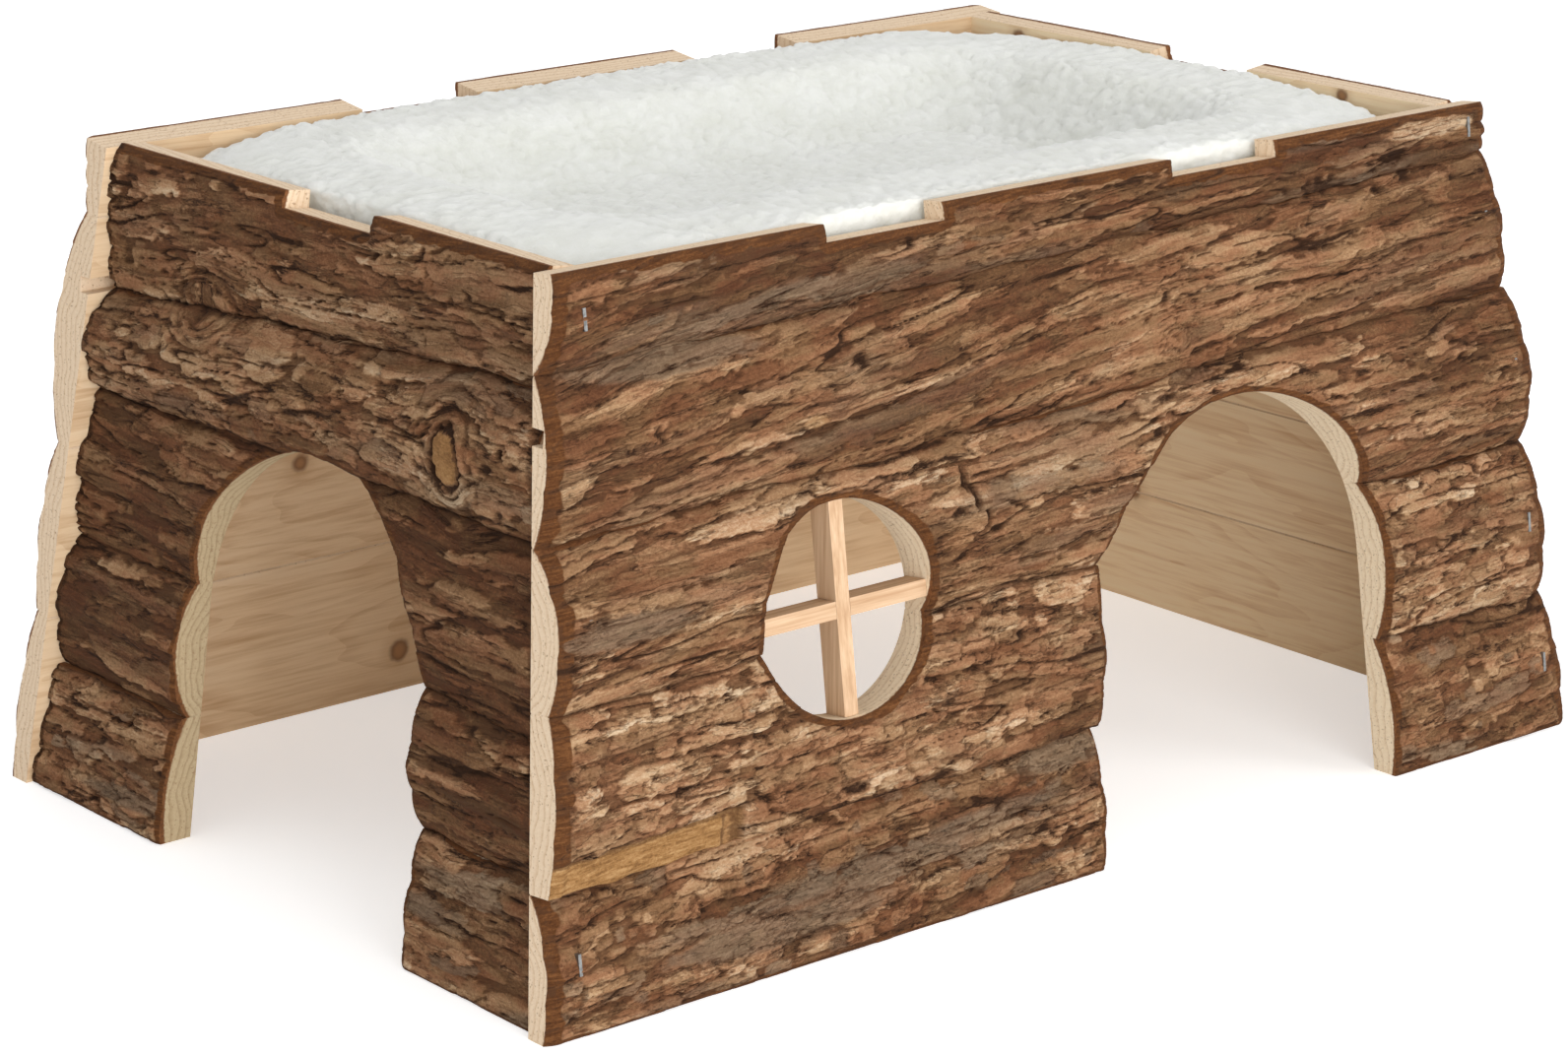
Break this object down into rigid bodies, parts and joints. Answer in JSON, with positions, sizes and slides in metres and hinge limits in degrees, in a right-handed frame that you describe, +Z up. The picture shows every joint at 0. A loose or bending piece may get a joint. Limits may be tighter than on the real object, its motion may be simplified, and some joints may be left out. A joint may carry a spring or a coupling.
{
  "type": "guinea pig house",
  "caption": "Small-animal house of bark-covered slab boards with leaning walls, arched entrances, a round barred window, battlements and a loose plush bed on its roof.",
  "frame": {"origin": "middle of the base, on the floor", "axes": "+X along the front wall towards its arched end, -Y towards the front, +Z up"},
  "size_m": [0.4, 0.2742, 0.198],
  "materials": {
    "bark_slab": "raw bark, sawn pale wood at the cuts",
    "planed_pine": "planed, untreated",
    "staple_wire": "galvanised wire",
    "plush": "long white plush"
  },
  "bodies": {
    "house": {"front_slab_1_left": "bark_slab", "front_slab_1_right": "bark_slab", "front_slab_2_left": "bark_slab", "front_slab_2_right": "bark_slab", "front_slab_3": "bark_slab", "front_slab_4": "bark_slab", "front_slab_5": "bark_slab", "front_staples": "staple_wire", "left_slab_1_front": "bark_slab", "left_slab_1_rear": "bark_slab", "left_slab_2_front": "bark_slab", "left_slab_2_rear": "bark_slab", "left_slab_3_front": "bark_slab", "left_slab_3_rear": "bark_slab", "left_slab_4": "bark_slab", "left_slab_5": "bark_slab", "rear_slab_1": "bark_slab", "rear_slab_2": "bark_slab", "rear_slab_3": "bark_slab", "rear_slab_4": "bark_slab", "rear_staples": "staple_wire", "right_slab_1": "bark_slab", "right_slab_2": "bark_slab", "right_slab_3": "bark_slab", "right_slab_4": "bark_slab", "right_slab_5": "bark_slab", "roof_board": "planed_pine", "window_bar_horizontal": "planed_pine", "window_bar_vertical": "planed_pine"},
    "bed": {"cushion": "plush"}
  },
  "joints": [
    {"name": "cushion_lift", "type": "slide", "parent": "house", "child": "bed", "axis": [0, 0, 1], "range_m": [0, 0.1]}
  ]
}
